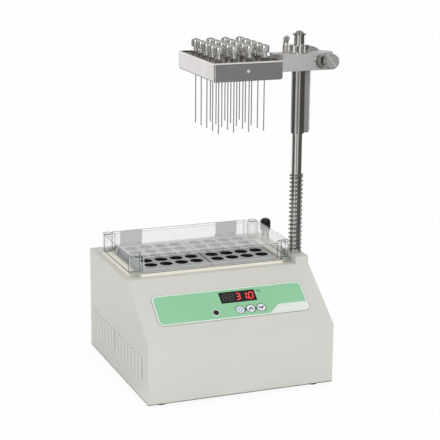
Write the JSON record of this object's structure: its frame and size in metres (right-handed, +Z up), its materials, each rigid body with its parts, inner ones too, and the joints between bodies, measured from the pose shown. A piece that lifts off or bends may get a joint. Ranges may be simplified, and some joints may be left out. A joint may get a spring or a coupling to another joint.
{
  "type": "nitrogen sample evaporator",
  "caption": "Bench evaporator: drilled tube heater under a hinged clear lid, and a gas needle head on a rack-driven column arm.",
  "frame": {"origin": "centre of the bottom plate's underside", "axes": "+Z up, +Y from the front to the back, +X to the right of the control panel"},
  "size_m": [0.2429, 0.225, 0.3745],
  "materials": {
    "painted_light": "smooth satin powder coat",
    "cream": "smooth satin",
    "bare_sheet": "satin sheet",
    "green_label": "satin film",
    "dark_window": "dark window",
    "black_plastic": "satin",
    "rubber": "matte",
    "white_plastic": "satin",
    "aluminium": "machined satin",
    "clear_plastic": "clear, polished",
    "brass": "bright",
    "chrome": "polished",
    "steel": "satin",
    "spring_steel": "dark satin",
    "black_anodised": "black anodised"
  },
  "bodies": {
    "base": {"housing": "painted_light", "bottom_plate": "bare_sheet", "rear_panel": "painted_light", "feet": "rubber", "control_label": "green_label", "display_window": "dark_window", "signal_lamp": "black_plastic", "tray_frame": "cream", "block_pan": "bare_sheet", "heater_plate": "bare_sheet", "power_module": "black_plastic", "gas_valve": "chrome", "gas_inlet": "brass", "hinge_base": "bare_sheet"},
    "block_left": {"block_left": "aluminium"},
    "block_right": {"block_right": "aluminium"},
    "button_menu": {"button_menu": "white_plastic"},
    "button_up": {"button_up": "white_plastic"},
    "button_down": {"button_down": "white_plastic"},
    "mains_rocker": {"mains_rocker": "black_plastic"},
    "gas_knob": {"gas_knob": "black_plastic"},
    "lid": {"lid_shell": "clear_plastic", "lid_posts": "clear_plastic", "lid_hinge_plates": "bare_sheet"},
    "column": {"column_rod": "chrome", "stop_ring": "steel", "buffer_spring": "spring_steel"},
    "carriage": {"guide_sleeve": "steel", "rack_strip": "steel"},
    "column_nut": {"column_nut": "chrome"},
    "arm": {"arm": "steel", "pinion_bush": "chrome", "gas_elbow": "chrome", "head_box": "steel", "gas_chamber": "black_anodised", "needle_hubs": "steel", "needles": "steel"},
    "pinion": {"pinion_shaft": "steel", "hand_knob": "black_plastic"},
    "clamp_screw": {"clamp_screw": "steel"},
    "needle_cap_a1": {"needle_cap_a1": "steel"},
    "needle_cap_a2": {"needle_cap_a2": "steel"},
    "needle_cap_a3": {"needle_cap_a3": "steel"},
    "needle_cap_a4": {"needle_cap_a4": "steel"},
    "needle_cap_b1": {"needle_cap_b1": "steel"},
    "needle_cap_b2": {"needle_cap_b2": "steel"},
    "needle_cap_b3": {"needle_cap_b3": "steel"},
    "needle_cap_b4": {"needle_cap_b4": "steel"},
    "needle_cap_c1": {"needle_cap_c1": "steel"},
    "needle_cap_c2": {"needle_cap_c2": "steel"},
    "needle_cap_c3": {"needle_cap_c3": "steel"},
    "needle_cap_c4": {"needle_cap_c4": "steel"},
    "needle_cap_d1": {"needle_cap_d1": "steel"},
    "needle_cap_d2": {"needle_cap_d2": "steel"},
    "needle_cap_d3": {"needle_cap_d3": "steel"},
    "needle_cap_d4": {"needle_cap_d4": "steel"},
    "needle_cap_e1": {"needle_cap_e1": "steel"},
    "needle_cap_e2": {"needle_cap_e2": "steel"},
    "needle_cap_e3": {"needle_cap_e3": "steel"},
    "needle_cap_e4": {"needle_cap_e4": "steel"}
  },
  "joints": [
    {"name": "block_left_lift", "type": "slide", "parent": "base", "child": "block_left", "axis": [0, 0, 1], "range_m": [0, 0.012]},
    {"name": "block_right_lift", "type": "slide", "parent": "base", "child": "block_right", "axis": [0, 0, 1], "range_m": [0, 0.012]},
    {"name": "button_menu_press", "type": "slide", "parent": "base", "child": "button_menu", "axis": [0, 0.5896, -0.8077], "range_m": [0, 0.0006], "stiffness_N_per_m": 400},
    {"name": "button_up_press", "type": "slide", "parent": "base", "child": "button_up", "axis": [0, 0.5896, -0.8077], "range_m": [0, 0.0006], "stiffness_N_per_m": 400},
    {"name": "button_down_press", "type": "slide", "parent": "base", "child": "button_down", "axis": [0, 0.5896, -0.8077], "range_m": [0, 0.0006], "stiffness_N_per_m": 400},
    {"name": "rocker_tilt", "type": "hinge", "parent": "base", "child": "mains_rocker", "pos_m": [-0.0395, 0.102, 0.046], "axis": [1, 0, 0], "range_deg": [-20, 0]},
    {"name": "gas_knob_turn", "type": "hinge", "parent": "base", "child": "gas_knob", "pos_m": [0.0974, 0.0685, 0.1145], "axis": [0, 0, 1], "range_deg": [0, 270]},
    {"name": "lid_open", "type": "hinge", "parent": "base", "child": "lid", "pos_m": [-0.004, 0.0857, 0.1203], "axis": [-1, 0, 0], "range_deg": [0, 100]},
    {"name": "column_swing", "type": "hinge", "parent": "base", "child": "column", "pos_m": [0.0974, -0.0151, 0.1225], "axis": [0, 0, 1], "range_deg": [-90, 45]},
    {"name": "carriage_lift", "type": "slide", "parent": "column", "child": "carriage", "axis": [0, 0, 1], "range_m": [-0.045, 0.01]},
    {"name": "column_nut_turn", "type": "hinge", "parent": "carriage", "child": "column_nut", "pos_m": [0.0974, -0.0151, 0.3456], "axis": [0, 0, 1], "range_deg": [0, 90]},
    {"name": "arm_height", "type": "slide", "parent": "carriage", "child": "arm", "axis": [0, 0, 1], "range_m": [-0.06, 0]},
    {"name": "pinion_turn", "type": "hinge", "parent": "arm", "child": "pinion", "pos_m": [0.11755, -0.0151, 0.337], "axis": [0, 1, 0], "range_deg": [0, 521]},
    {"name": "clamp_screw_turn", "type": "hinge", "parent": "arm", "child": "clamp_screw", "pos_m": [0.1275, -0.0151, 0.337], "axis": [0, 1, 0], "range_deg": [0, 180]},
    {"name": "needle_cap_a1_turn", "type": "hinge", "parent": "arm", "child": "needle_cap_a1", "pos_m": [0.0081, -0.0067, 0.34], "axis": [0, 0, 1], "range_deg": [0, 270]},
    {"name": "needle_cap_a2_turn", "type": "hinge", "parent": "arm", "child": "needle_cap_a2", "pos_m": [0.0257, -0.0067, 0.34], "axis": [0, 0, 1], "range_deg": [0, 270]},
    {"name": "needle_cap_a3_turn", "type": "hinge", "parent": "arm", "child": "needle_cap_a3", "pos_m": [0.0433, -0.0067, 0.34], "axis": [0, 0, 1], "range_deg": [0, 270]},
    {"name": "needle_cap_a4_turn", "type": "hinge", "parent": "arm", "child": "needle_cap_a4", "pos_m": [0.0609, -0.0067, 0.34], "axis": [0, 0, 1], "range_deg": [0, 270]},
    {"name": "needle_cap_b1_turn", "type": "hinge", "parent": "arm", "child": "needle_cap_b1", "pos_m": [0.0081, 0.0109, 0.34], "axis": [0, 0, 1], "range_deg": [0, 270]},
    {"name": "needle_cap_b2_turn", "type": "hinge", "parent": "arm", "child": "needle_cap_b2", "pos_m": [0.0257, 0.0109, 0.34], "axis": [0, 0, 1], "range_deg": [0, 270]},
    {"name": "needle_cap_b3_turn", "type": "hinge", "parent": "arm", "child": "needle_cap_b3", "pos_m": [0.0433, 0.0109, 0.34], "axis": [0, 0, 1], "range_deg": [0, 270]},
    {"name": "needle_cap_b4_turn", "type": "hinge", "parent": "arm", "child": "needle_cap_b4", "pos_m": [0.0609, 0.0109, 0.34], "axis": [0, 0, 1], "range_deg": [0, 270]},
    {"name": "needle_cap_c1_turn", "type": "hinge", "parent": "arm", "child": "needle_cap_c1", "pos_m": [0.0081, 0.0285, 0.34], "axis": [0, 0, 1], "range_deg": [0, 270]},
    {"name": "needle_cap_c2_turn", "type": "hinge", "parent": "arm", "child": "needle_cap_c2", "pos_m": [0.0257, 0.0285, 0.34], "axis": [0, 0, 1], "range_deg": [0, 270]},
    {"name": "needle_cap_c3_turn", "type": "hinge", "parent": "arm", "child": "needle_cap_c3", "pos_m": [0.0433, 0.0285, 0.34], "axis": [0, 0, 1], "range_deg": [0, 270]},
    {"name": "needle_cap_c4_turn", "type": "hinge", "parent": "arm", "child": "needle_cap_c4", "pos_m": [0.0609, 0.0285, 0.34], "axis": [0, 0, 1], "range_deg": [0, 270]},
    {"name": "needle_cap_d1_turn", "type": "hinge", "parent": "arm", "child": "needle_cap_d1", "pos_m": [0.0081, 0.0461, 0.34], "axis": [0, 0, 1], "range_deg": [0, 270]},
    {"name": "needle_cap_d2_turn", "type": "hinge", "parent": "arm", "child": "needle_cap_d2", "pos_m": [0.0257, 0.0461, 0.34], "axis": [0, 0, 1], "range_deg": [0, 270]},
    {"name": "needle_cap_d3_turn", "type": "hinge", "parent": "arm", "child": "needle_cap_d3", "pos_m": [0.0433, 0.0461, 0.34], "axis": [0, 0, 1], "range_deg": [0, 270]},
    {"name": "needle_cap_d4_turn", "type": "hinge", "parent": "arm", "child": "needle_cap_d4", "pos_m": [0.0609, 0.0461, 0.34], "axis": [0, 0, 1], "range_deg": [0, 270]},
    {"name": "needle_cap_e1_turn", "type": "hinge", "parent": "arm", "child": "needle_cap_e1", "pos_m": [0.0081, 0.0637, 0.34], "axis": [0, 0, 1], "range_deg": [0, 270]},
    {"name": "needle_cap_e2_turn", "type": "hinge", "parent": "arm", "child": "needle_cap_e2", "pos_m": [0.0257, 0.0637, 0.34], "axis": [0, 0, 1], "range_deg": [0, 270]},
    {"name": "needle_cap_e3_turn", "type": "hinge", "parent": "arm", "child": "needle_cap_e3", "pos_m": [0.0433, 0.0637, 0.34], "axis": [0, 0, 1], "range_deg": [0, 270]},
    {"name": "needle_cap_e4_turn", "type": "hinge", "parent": "arm", "child": "needle_cap_e4", "pos_m": [0.0609, 0.0637, 0.34], "axis": [0, 0, 1], "range_deg": [0, 270]}
  ],
  "couplings": [
    {"joint": "pinion_turn", "follows": "arm_height", "rad_per_m": -151.52}
  ]
}
